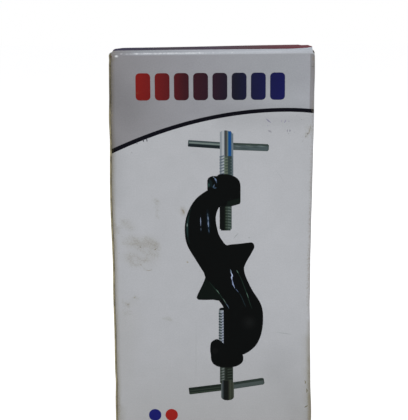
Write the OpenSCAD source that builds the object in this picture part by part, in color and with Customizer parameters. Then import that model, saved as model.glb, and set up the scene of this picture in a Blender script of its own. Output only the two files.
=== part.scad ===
// Small tuck-end carton, folded from one sheet of coated board.
// The front and back walls carry the tuck flaps, at opposite ends: the top flap
// hinges on the front wall, and the bottom flap hinges on the back wall.

/* [Carton] */
// Outside width, across the front
carton_w = 72; // [56:1:110]
// Outside depth, from front to back
carton_d = 48; // [40:1:80]
// Outside height, standing on the bottom flap
carton_h = 156; // [110:1:220]

/* [Board] */
// Thickness of the board
board_t = 0.6; // [0.4:0.05:0.75]
// Outside radius of the scored folds
fold_r = 0.9; // [0.9:0.05:1.4]
// Height of the bead that scoring raises inside a tight fold
bead_rise = 0.15; // [0.1:0.05:0.3]

/* [Glue seam] */
// Width of the glue tab behind the left wall
tab_w = 12; // [8:1:18]
// Length that the tab's ends slope over
tab_slope = 4; // [2:0.5:8]
// Thickness of the glue line
glue_t = 0.1; // [0.05:0.05:0.2]
// Distance of the left wall's cut edge behind the front face
seam_inset = 0.3; // [0.1:0.1:0.6]

/* [Tuck flaps] */
// Outside radius of a tuck flap's hinge fold
hinge_r = 1.5; // [1.2:0.1:2]
// Half of the angle by which the hinge fold is parted, so that the flap can turn
hinge_part = 1; // [0.5:0.5:3]
// Distance of a tuck flap's side edges inside the walls' outer faces
flap_relief = 1.6; // [1.6:0.1:2.5]
// Gap between the tongue's fold and the wall that it tucks behind
tuck_gap = 0.3; // [0.25:0.05:0.5]
// Length of the tongue below its fold
tongue_l = 14; // [10:1:18]
// Gap between the tongue's side edges and the folded corner at the seam
tongue_relief = 0.3; // [0.2:0.1:2]
// Radius of the tongue's two free corners
tongue_corner = 8; // [3:1:9]
// Length of the lock slit at each end of the tongue's fold
slit_l = 6; // [4:0.5:9]
// Width of the lock slit, below the fold's bead
slit_w = 0.2; // [0.1:0.05:0.4]

/* [Dust flaps] */
// Length of a dust flap, beyond its fold
dust_l = 28; // [20:1:34]
// Slope of the dust flap's hinge-side edge, in degrees
dust_taper = 10; // [5:1:20]
// Length of the straight shoulder that the lock slit catches
shoulder_l = 7; // [5:0.5:10]
// Depth of the step behind the shoulder
shoulder_step = 4; // [2:0.5:6]
// Radius of the dust flap's free corner on the tuck side
dust_corner = 5; // [2:0.5:8]
// Gap between a tuck flap and the dust flaps under it
flap_gap = 0.15; // [0.1:0.05:0.3]
// Gap between a dust flap's shoulder and the path of the tongue
shoulder_gap = 1; // [0.6:0.1:2]

/* [Hidden] */
$fn = 64;

BOARD_WHITE = "#B0B3B8";
INK_MAROON = "#5A2C3C";
// Extra length that carries a cutting shape past what it cuts
overlap = 1;

half_w = carton_w / 2;
half_d = carton_d / 2;
// The bead is a rod in the hollow of the fold
bead_r = fold_r - board_t + bead_rise;
// Outer face of the glue tab, behind the left wall and the glue line
tab_x = -half_w + board_t + glue_t;
// The upright folds stop this far below a tuck flap's hinge, at the die-cut corner notches
corner_drop = hinge_r + fold_r;
crown_z = carton_h - corner_drop;
// The tuck side's cut edge stops this far short of the closure's outer face
edge_inset = 0.3;

// Where the front wall's flat part begins, past the seam's fold
front_start = tab_x + fold_r;
// A tuck flap is no wider than the flat part that carries it
flap_half = min(half_w - flap_relief, -front_start);
tongue_half = min(flap_half, -(front_start + bead_r)) - tongue_relief;
// Half of the length of the tongue's fold, between the lock slits
fold_half = flap_half - slit_l;
// Centre of the tongue's fold, in from the wall that it tucks behind
tongue_fold_y = half_d - board_t - tuck_gap - fold_r;
// The tongue leans in from upright, so that its free edge swings up past that wall
lean_margin = 2;
tongue_lean = asin(tongue_l / (2 * (half_d + tongue_fold_y))) + lean_margin;

// Outer face of the dust flaps, one board and a gap under the tuck flap
dust_top = carton_h - board_t - flap_gap;
dust_fold_z = dust_top - fold_r;
// The dust flap's root runs from the hinge wall's side to the tuck side
notch_gap = 0.1;
dust_hinge_y = -half_d + hinge_r + notch_gap;
dust_tuck_y = tongue_fold_y - board_t - shoulder_gap;

// A quarter of a ring of board, from the +X side round to the +Y side
module quarter_fold(r) {
    intersection() {
        difference() {
            circle(r);
            circle(r - board_t);
        }
        square(r + overlap);
    }
}

// The part of a ring of board between two angles less than 180 degrees apart
module fold_sector(r, from_angle, to_angle) {
    reach = 10;
    intersection() {
        difference() {
            circle(r);
            circle(r - board_t);
        }
        polygon([
            [0, 0],
            reach * [cos(from_angle), sin(from_angle)],
            reach * [cos((from_angle + to_angle) / 2), sin((from_angle + to_angle) / 2)],
            reach * [cos(to_angle), sin(to_angle)]
        ]);
    }
}

// What is cut off a square corner, with its arc centred on the origin, to round it
module corner_cut(r) {
    difference() {
        square(r + overlap);
        circle(r);
    }
}

// Extrudes a profile drawn in Y and Z along X, centred on the carton
module along_x(length) {
    translate([-length / 2, 0, 0])
        rotate([90, 0, 90])
            linear_extrude(length)
                children();
}

// A tight fold through a quarter turn, with the bead inside it
module beaded_fold() {
    quarter_fold(fold_r);
    circle(bead_r);
}

// Plan of an upright fold, turned to its corner
module fold_plan(x, y, turn) {
    translate([x, y]) rotate(turn) beaded_fold();
}

// Plan of the four walls and their upright folds, with the seam open at the front left
module wall_plan() {
    translate([front_start, -half_d]) square([half_w - fold_r - front_start, board_t]);
    translate([half_w - board_t, -half_d + fold_r]) square([board_t, carton_d - 2 * fold_r]);
    translate([-half_w + fold_r, half_d - board_t]) square([carton_w - 2 * fold_r, board_t]);
    translate([-half_w, -half_d + seam_inset]) square([board_t, carton_d - fold_r - seam_inset]);
    fold_plan(half_w - fold_r, half_d - fold_r, 0);
    fold_plan(-half_w + fold_r, half_d - fold_r, 90);
    fold_plan(front_start, -half_d + fold_r, 180);
    fold_plan(half_w - fold_r, -half_d + fold_r, 270);
}

// The tab that turns in from the front wall and is glued behind the left wall
module glue_tab() {
    start_y = -half_d + fold_r;
    end_y = -half_d + tab_w;
    translate([tab_x, 0, 0])
        rotate([90, 0, 90])
            linear_extrude(board_t)
                polygon([
                    [start_y, corner_drop],
                    [end_y, corner_drop + tab_slope],
                    [end_y, carton_h - corner_drop - tab_slope],
                    [start_y, carton_h - corner_drop]
                ]);
}

// Outline of a dust flap: x runs inwards from its fold, and y along the carton's depth
module dust_outline() {
    step_y = dust_tuck_y - shoulder_step;
    difference() {
        polygon([
            [0, dust_hinge_y],
            [dust_l, dust_hinge_y + dust_l * tan(dust_taper)],
            [dust_l, step_y],
            [shoulder_l + shoulder_step, step_y],
            [shoulder_l, dust_tuck_y],
            [0, dust_tuck_y]
        ]);
        translate([dust_l - dust_corner, step_y - dust_corner]) corner_cut(dust_corner);
    }
}

// A dust flap folded in from the right wall, with the strip of wall below its
// fold. The strip runs on to wall_end_y, where it meets the tuck side's corner.
module dust_flap(wall_end_y) {
    translate([half_w - board_t, dust_hinge_y, crown_z])
        cube([board_t, wall_end_y - dust_hinge_y, dust_fold_z - crown_z]);
    translate([half_w - fold_r, dust_tuck_y, dust_fold_z])
        rotate([90, 0, 0])
            linear_extrude(dust_tuck_y - dust_hinge_y)
                beaded_fold();
    translate([half_w - fold_r, 0, dust_top - board_t])
        mirror([1, 0, 0])
            linear_extrude(board_t)
                dust_outline();
}

// Everything above the level of the corner notches at the top: the hinge wall's
// half of the tuck flap's fold, the tuck side's cut edge and the two dust flaps.
// The left corner on the tuck side has its fold at left_fold_x, and the left
// wall ends at left_end_y there.
module sleeve_end(left_fold_x, left_end_y) {
    tuck_fold_y = half_d - fold_r;
    along_x(2 * flap_half) {
        translate([-half_d, crown_z]) square([board_t, carton_h - hinge_r - crown_z]);
        translate([-half_d + hinge_r, carton_h - hinge_r])
            fold_sector(hinge_r, 135 + hinge_part, 180);
    }
    translate([left_fold_x, half_d - board_t, crown_z])
        cube([half_w - fold_r - left_fold_x, board_t, corner_drop - edge_inset]);
    translate([0, 0, crown_z])
        linear_extrude(dust_fold_z - crown_z) {
            fold_plan(half_w - fold_r, tuck_fold_y, 0);
            fold_plan(left_fold_x, tuck_fold_y, 90);
        }
    dust_flap(tuck_fold_y);
    mirror([1, 0, 0]) dust_flap(left_end_y);
}

// Outline of the tongue, hanging down from its fold
module tongue_outline() {
    difference() {
        translate([-tongue_half, -tongue_l]) square([2 * tongue_half, tongue_l]);
        for (side = [0, 1])
            mirror([side, 0])
                translate([tongue_half - tongue_corner, -tongue_l + tongue_corner])
                    mirror([0, 1]) corner_cut(tongue_corner);
    }
}

// The tongue and its fold, cut back at both ends by the lock slits
module tongue() {
    slit_floor_z = carton_h - fold_r - bead_r - slit_w;
    difference() {
        union() {
            along_x(2 * flap_half)
                translate([tongue_fold_y, carton_h - fold_r]) {
                    fold_sector(fold_r, -tongue_lean, 90);
                    circle(bead_r);
                }
            translate([0, tongue_fold_y, carton_h - fold_r])
                rotate([-tongue_lean, 0, 0])
                    translate([0, fold_r, 0])
                        rotate([90, 0, 0])
                            linear_extrude(board_t)
                                tongue_outline();
        }
        for (side = [0, 1])
            mirror([side, 0, 0])
                translate([fold_half, tongue_fold_y - overlap, slit_floor_z])
                    cube([slit_l + overlap, fold_r + 2 * overlap, carton_h - slit_floor_z + overlap]);
    }
}

// A tuck flap at the top: its half of the hinge fold, the panel and the tongue
module tuck_flap() {
    panel_start = -half_d + hinge_r;
    along_x(2 * flap_half) {
        translate([panel_start, carton_h - hinge_r]) fold_sector(hinge_r, 90, 135 - hinge_part);
        translate([panel_start, carton_h - board_t]) square([tongue_fold_y - panel_start, board_t]);
    }
    // The square ears outside the lock slits
    for (side = [0, 1])
        mirror([side, 0, 0])
            translate([fold_half, tongue_fold_y, carton_h - board_t])
                cube([slit_l, fold_r, board_t]);
    tongue();
}

// Turns a piece drawn at the top round to the bottom, which swaps front and back
module at_bottom() {
    translate([0, 0, carton_h]) rotate([180, 0, 0]) children();
}

module carton_sleeve() {
    color(BOARD_WHITE) {
        translate([0, 0, corner_drop])
            linear_extrude(carton_h - 2 * corner_drop)
                wall_plan();
        glue_tab();
        sleeve_end(-half_w + fold_r, half_d - fold_r);
        // The seam's corner is on the tuck side at the bottom
        at_bottom() sleeve_end(front_start, half_d - seam_inset);
    }
}

module top_tuck_flap() {
    color(INK_MAROON) tuck_flap();
}

module bottom_tuck_flap() {
    color(BOARD_WHITE) at_bottom() tuck_flap();
}

carton_sleeve();
top_tuck_flap();
bottom_tuck_flap();
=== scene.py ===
import math
import bpy
import numpy as np
from mathutils import Matrix, Vector, noise


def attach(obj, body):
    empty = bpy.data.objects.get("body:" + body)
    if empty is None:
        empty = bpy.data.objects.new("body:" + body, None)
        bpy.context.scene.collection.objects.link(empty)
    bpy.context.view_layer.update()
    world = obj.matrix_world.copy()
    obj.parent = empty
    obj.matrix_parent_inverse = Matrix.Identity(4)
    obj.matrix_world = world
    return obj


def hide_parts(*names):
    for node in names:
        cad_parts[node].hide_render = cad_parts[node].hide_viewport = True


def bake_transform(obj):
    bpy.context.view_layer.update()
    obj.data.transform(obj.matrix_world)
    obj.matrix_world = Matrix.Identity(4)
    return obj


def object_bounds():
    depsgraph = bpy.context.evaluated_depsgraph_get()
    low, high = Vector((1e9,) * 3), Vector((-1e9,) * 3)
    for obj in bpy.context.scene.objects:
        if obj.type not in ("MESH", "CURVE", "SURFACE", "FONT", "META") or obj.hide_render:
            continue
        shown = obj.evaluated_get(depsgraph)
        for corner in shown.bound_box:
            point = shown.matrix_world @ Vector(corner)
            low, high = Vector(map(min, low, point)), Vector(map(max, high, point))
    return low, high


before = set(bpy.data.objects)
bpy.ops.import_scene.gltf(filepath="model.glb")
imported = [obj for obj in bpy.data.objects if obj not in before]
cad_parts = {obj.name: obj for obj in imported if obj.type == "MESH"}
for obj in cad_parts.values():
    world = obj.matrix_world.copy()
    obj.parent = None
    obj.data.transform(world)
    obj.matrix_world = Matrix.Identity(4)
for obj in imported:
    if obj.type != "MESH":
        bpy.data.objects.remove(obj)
cadLow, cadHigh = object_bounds()
print("frame loaded")

# Flat blanks are drawn in millimetres: s runs along the walls' outer face and equals
# x on the front wall, and v runs up it. Folding them gives metres.
mm = 0.001
halfWidth = (cadHigh.x - cadLow.x) / 2 / mm
halfDepth = (cadHigh.y - cadLow.y) / 2 / mm
height = (cadHigh.z - cadLow.z) / mm

# The folds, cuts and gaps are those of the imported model
board = {
    "thickness": 0.6,
    "foldRadius": 0.9,
    "hingeRadius": 1.5,
    "cornerDrop": 2.4,
    "edgeInset": 0.3,
    "frontStart": -34.4,
    "seamFrom": -34.85,
    "seamRadius": 0.45,
    "foldSteps": 6,
    "cell": 2.0,
    # how far from a fold's round the ink is rubbed
    "wearReach": 1.4,
    "smoothAngle": 34.0,
}
foldLength = board["foldRadius"] * math.pi / 2
seamLength = board["seamRadius"] * math.pi / 2
crownHeight = height - board["cornerDrop"]
flatWidth = halfWidth - board["foldRadius"]
flatDepth = halfDepth - board["foldRadius"]

# What years on a shelf do to a carton, in millimetres
handling = {
    "skewFront": 0.3,
    "skewBack": 0.42,
    "skewFrom": 149.0,
    "skewTo": 155.0,
    "frontBow": 0.35,
    "sideBow": -0.5,
    "ripple": 0.1,
    "rippleLength": 34.0,
    # the ripples are this much closer along Y and along Z
    "rippleStretch": (1.3, 0.8),
    # below 1, a wall bows more evenly over its height than a sine would
    "bowShape": 0.7,
    # the dents reach this far along the front wall, and this far back from it
    "dentAcross": 13.0,
    "dentDepth": 30.0,
    # side, height, push along X, half of the height that it spreads over
    "edgeDents": [
        (-1, 150.0, 0.12, 9.0), (-1, 131.5, -0.28, 9.0), (-1, 104.0, -0.4, 28.0), (-1, 67.0, -0.17, 14.0),
        (-1, 34.5, 0.18, 6.5), (1, 147.5, 0.14, 9.0), (1, 121.5, -0.12, 8.0), (1, 112.0, -0.1, 12.0),
        (1, 96.0, -0.36, 32.0), (1, 88.0, 0.08, 7.0), (1, 66.0, -0.7, 44.0), (1, 64.0, -0.12, 6.0),
        (1, 22.0, 0.34, 12.5),
    ],
    # place and depth of small bruises at the corners, pushed towards the inside
    "bruises": [
        ((-35.6, -23.8, 153.2), 0.25, 3.0), ((35.8, 23.6, 151.0), 0.5, 6.0),
        ((-35.8, 23.6, 6.0), 0.6, 7.0), ((35.8, -23.6, 4.0), 0.4, 5.0),
    ],
    # the flap's face stands up a little towards its right side
    "bulgeAt": (34.0, -18.0),
    "bulgeRise": 0.45,
    "bulgeReach": 22.0,
    # the tongue's spring holds the flap a little proud of the walls, from a line behind its fold
    "lidRise": 0.3,
    "lidRiseFrom": 1.0,
    "lidRiseOver": 9.0,
    # only what is near the top's face is lifted: from this far below it, over this height
    "faceFrom": 0.7,
    "faceOver": 0.5,
    # the front corners of the top are knocked down: x, y, drop, reach
    "knocks": [(-35.9, -23.8, 0.36, 2.6), (36.3, -23.0, 0.4, 2.1)],
}


# Small helpers

def hexColour(code):
    values = [int(code[i:i + 2], 16) / 255 for i in (1, 3, 5)]
    linear = [c / 12.92 if c <= 0.04045 else ((c + 0.055) / 1.055) ** 2.4 for c in values]
    return (*linear, 1.0)


def smooth(t):
    t = min(max(t, 0.0), 1.0)
    return t * t * (3 - 2 * t)


def selectOnly(*pieces):
    bpy.ops.object.select_all(action="DESELECT")
    for piece in pieces:
        piece.select_set(True)
    bpy.context.view_layer.objects.active = pieces[0]


def selectFaces(piece, wanted):
    # Selects just the faces that wanted() accepts
    mesh = piece.data
    for item in list(mesh.vertices) + list(mesh.edges):
        item.select = False
    for face in mesh.polygons:
        face.select = wanted(face)


# Paths that a flat blank is bent along

def layPath(start, heading, moves):
    # Each move is a length and the angle that it turns to the left over that length
    legs = []
    x, y = start
    travelled = 0.0
    for length, turn in moves:
        leg = {"at": travelled, "length": length, "start": (x, y), "heading": heading}
        leg["turn"] = math.radians(turn)
        legs.append(leg)
        x, y, heading = walkLeg(leg, length)
        travelled += length
    return legs


def walkLeg(leg, along):
    x, y = leg["start"]
    heading = leg["heading"]
    if leg["turn"] == 0:
        return x + along * math.cos(heading), y + along * math.sin(heading), heading
    radius = leg["length"] / leg["turn"]
    turned = heading + along / radius
    x += radius * (math.sin(turned) - math.sin(heading))
    y -= radius * (math.cos(turned) - math.cos(heading))
    return x, y, turned


def walkPath(legs, distance):
    leg = legs[0]
    for following in legs[1:]:
        if distance >= following["at"]:
            leg = following
    return walkLeg(leg, distance - leg["at"])


def foldLines(legs, origin):
    # Where the blank has to have edges, so that it can bend
    lines = []
    for leg in legs:
        if leg["turn"] != 0:
            steps = board["foldSteps"]
            lines += [origin + leg["at"] + leg["length"] * i / steps for i in range(steps + 1)]
    return lines


def nearestFold(legs, distance):
    gaps = [99.0]
    for leg in legs:
        if leg["turn"] != 0:
            gaps.append(max(leg["at"] - distance, distance - leg["at"] - leg["length"], 0.0))
    return min(gaps)


# Flat outlines

def roundCorner(corner, fromPoint, toPoint, radius, steps=6):
    corner = Vector(corner)
    before = (Vector(fromPoint) - corner).normalized() * radius
    after = (Vector(toPoint) - corner).normalized() * radius
    centre = corner + before + after
    points = []
    for i in range(steps + 1):
        angle = math.pi / 2 * i / steps
        points.append(tuple(centre - after * math.cos(angle) - before * math.sin(angle)))
    return points


def disc(centre, radius, points, tall=1.0):
    x, y = centre
    turns = [math.tau * (i + 0.3) / points for i in range(points)]
    return [(x + radius * math.cos(t), y + tall * radius * math.sin(t)) for t in turns]


def bar(start, end, width, radius=0.0, shift=0.0):
    # A straight bar along start to end, moved sideways by shift, with rounded corners
    a = Vector(start)
    b = Vector(end)
    along = (b - a).normalized()
    side = Vector((-along.y, along.x))
    a = a + side * shift
    b = b + side * shift
    half = side * width / 2
    corners = [a - half, b - half, b + half, a + half]
    if radius <= 0:
        return [tuple(c) for c in corners]
    points = []
    for i, corner in enumerate(corners):
        points += roundCorner(corner, corners[i - 1], corners[(i + 1) % 4], radius, 4)
    return points


def ribbon(points, width):
    # A thin band along a bent line, tapered to both ends
    left = []
    right = []
    for i, point in enumerate(points):
        ahead = Vector(points[min(i + 1, len(points) - 1)]) - Vector(points[max(i - 1, 0)])
        side = Vector((-ahead.y, ahead.x)).normalized()
        half = width / 2 * (0.3 + 0.7 * math.sin(math.pi * i / (len(points) - 1)))
        left.append(tuple(Vector(point) + side * half))
        right.append(tuple(Vector(point) - side * half))
    return left + right[::-1]


def softened(points):
    # Cuts every corner of a closed outline, as sanding would
    cut = []
    for i, point in enumerate(points):
        a = Vector(point)
        b = Vector(points[(i + 1) % len(points)])
        cut += [tuple(a.lerp(b, 0.25)), tuple(a.lerp(b, 0.75))]
    return cut


def isInside(xs, ys, outline):
    inside = np.zeros(len(xs), bool)
    for (x1, y1), (x2, y2) in zip(outline, outline[1:] + outline[:1]):
        if y1 == y2:
            continue
        crosses = (ys < y1) != (ys < y2)
        inside ^= crosses & (xs < (x2 - x1) * (ys - y1) / (y2 - y1) + x1)
    return inside


# Cutting, printing and folding a sheet of board

def addSheet(name, low, high, lines):
    # A flat grid over the blank, cut along its fold lines
    columns = round((high[0] - low[0]) / board["cell"])
    rows = round((high[1] - low[1]) / board["cell"])
    bpy.ops.object.select_all(action="DESELECT")
    middle = ((low[0] + high[0]) / 2, (low[1] + high[1]) / 2, 0)
    bpy.ops.mesh.primitive_grid_add(x_subdivisions=columns, y_subdivisions=rows, size=1, location=middle)
    sheet = bpy.context.object
    sheet.name = name
    bpy.ops.transform.resize(value=(high[0] - low[0], high[1] - low[1], 1))
    bpy.ops.object.transform_apply(location=True, rotation=True, scale=True)
    bpy.ops.object.mode_set(mode="EDIT")
    for axis, values in lines.items():
        for value in values:
            place = (value, 0, 0) if axis == "s" else (0, value, 0)
            across = (1, 0, 0) if axis == "s" else (0, 1, 0)
            bpy.ops.mesh.select_all(action="SELECT")
            bpy.ops.mesh.bisect(plane_co=place, plane_no=across, threshold=0.001)
    bpy.ops.object.mode_set(mode="OBJECT")
    return sheet


def stampSheet(sheet, outlines):
    # Each outline stands across the sheet as a thin knife, which cuts it right through
    points = []
    blades = []
    for outline in outlines:
        first = len(points)
        count = len(outline)
        points += [(x, y, -1) for x, y in outline] + [(x, y, 1) for x, y in outline]
        for i in range(count):
            j = (i + 1) % count
            blades.append((first + i, first + j, first + count + j, first + count + i))
    mesh = bpy.data.meshes.new("knife")
    mesh.from_pydata(points, [], blades)
    knife = bpy.data.objects.new("knife", mesh)
    bpy.context.collection.objects.link(knife)
    selectOnly(sheet, knife)
    bpy.ops.object.join()
    selectFaces(sheet, lambda face: abs(face.normal.z) > 0.9)
    bpy.ops.object.mode_set(mode="EDIT")
    bpy.ops.mesh.select_mode(type="FACE")
    bpy.ops.mesh.intersect(mode="SELECT_UNSELECT", separate_mode="NONE", solver="EXACT")
    bpy.ops.object.mode_set(mode="OBJECT")
    selectFaces(sheet, lambda face: abs(face.normal.z) < 0.5)
    bpy.ops.object.mode_set(mode="EDIT")
    bpy.ops.mesh.delete(type="FACE")
    bpy.ops.mesh.select_all(action="SELECT")
    bpy.ops.mesh.remove_doubles(threshold=0.002)
    bpy.ops.mesh.select_all(action="SELECT")
    bpy.ops.mesh.quads_convert_to_tris(quad_method="BEAUTY", ngon_method="BEAUTY")
    bpy.ops.object.mode_set(mode="OBJECT")


def faceCentres(sheet):
    centres = np.array([tuple(face.center) for face in sheet.data.polygons])
    return centres[:, 0], centres[:, 1]


def trimSheet(sheet, outline):
    xs, ys = faceCentres(sheet)
    kept = isInside(xs, ys, outline)
    selectFaces(sheet, lambda face: not kept[face.index])
    bpy.ops.object.mode_set(mode="EDIT")
    bpy.ops.mesh.delete(type="FACE")
    bpy.ops.object.mode_set(mode="OBJECT")


def inkAt(ink, s):
    # An ink is one colour, or a run of colours along s
    if isinstance(ink, str):
        return hexColour(ink)
    for (s1, code1), (s2, code2) in zip(ink, ink[1:]):
        if s <= s2:
            t = min(max((s - s1) / (s2 - s1), 0.0), 1.0)
            a = hexColour(code1)
            b = hexColour(code2)
            return tuple(p + (q - p) * t for p, q in zip(a, b))
    return hexColour(ink[-1][1])


def printSheet(sheet, shapes):
    # The last shape that a face lies in gives it its ink
    mesh = sheet.data
    xs, ys = faceCentres(sheet)
    inks = np.zeros(len(xs), int)
    for number, shape in enumerate(shapes):
        inks[isInside(xs, ys, shape["outline"])] = number
    # painted light and shade: each corner's ink is scaled by the front's slow tones
    tones = [paintedShadingAt(*vertex.co.xy) for vertex in mesh.vertices]
    colours = mesh.color_attributes.new("ink", "FLOAT_COLOR", "CORNER")
    for face in mesh.polygons:
        ink = shapes[inks[face.index]]["ink"]
        for loop in face.loop_indices:
            vertex = mesh.loops[loop].vertex_index
            red, green, blue, alpha = inkAt(ink, mesh.vertices[vertex].co.x)
            tone = tones[vertex]
            colours.data[loop].color = (red * tone, green * tone, blue * tone, alpha)


def cutSheet(name, low, high, lines, outline, shapes):
    sheet = addSheet(name, low, high, lines)
    stampSheet(sheet, [outline] + [each["outline"] for each in shapes if each["stamped"]])
    trimSheet(sheet, outline)
    printSheet(sheet, shapes)
    return sheet


def settle(point, out):
    # The small ways in which a real carton isn't straight
    x, y, z = point
    share = smooth((z - handling["skewFrom"]) / (handling["skewTo"] - handling["skewFrom"]))
    depth = (y + halfDepth) / (2 * halfDepth)
    skew = handling["skewFront"] + (handling["skewBack"] - handling["skewFront"]) * depth
    moved = Vector((x, y, z + skew * x / halfWidth * share))
    front = smooth(1 - (y + halfDepth) / handling["dentDepth"])
    for side, level, push, spread in handling["edgeDents"]:
        near = smooth(1 - (halfWidth - side * x) / handling["dentAcross"])
        moved.x += push * near * front * smooth(1 - abs(z - level) / spread)
    upright = 1 - abs(out.z)
    rise = math.sin(math.pi * min(max(z / height, 0.0), 1.0)) ** handling["bowShape"]
    across = abs(out.y) * (1 - min(abs(x) / flatWidth, 1.0) ** 2)
    along = abs(out.x) * (1 - min(abs(y) / flatDepth, 1.0) ** 2)
    bow = handling["frontBow"] * across + handling["sideBow"] * along
    stretchY, stretchZ = handling["rippleStretch"]
    ripplePlace = Vector((x, y * stretchY, z * stretchZ)) / handling["rippleLength"]
    ripple = noise.noise(ripplePlace) * handling["ripple"]
    moved += out * (bow * upright * rise + ripple)
    bulgeGap = math.hypot(x - handling["bulgeAt"][0], y - handling["bulgeAt"][1])
    lifted = handling["bulgeRise"] * smooth(1 - bulgeGap / handling["bulgeReach"])
    behind = y + halfDepth - handling["lidRiseFrom"]
    lifted += handling["lidRise"] * smooth(behind / handling["lidRiseOver"])
    moved.z += lifted * max(out.z, 0.0) * smooth((z - height + handling["faceFrom"]) / handling["faceOver"])
    for knockX, knockY, drop, reach in handling["knocks"]:
        moved.z -= drop * share * smooth(1 - math.hypot(x - knockX, y - knockY) / reach)
    for place, deep, spread in handling["bruises"]:
        gap = (Vector(point) - Vector(place)).length
        if gap < spread:
            inward = Vector((-math.copysign(1, x), -math.copysign(1, y), 0)).normalized()
            moved += inward * deep * smooth(1 - gap / spread)
    return moved


# Dirt, wear and marks, with the carton's painted highlights and painted shade
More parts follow.
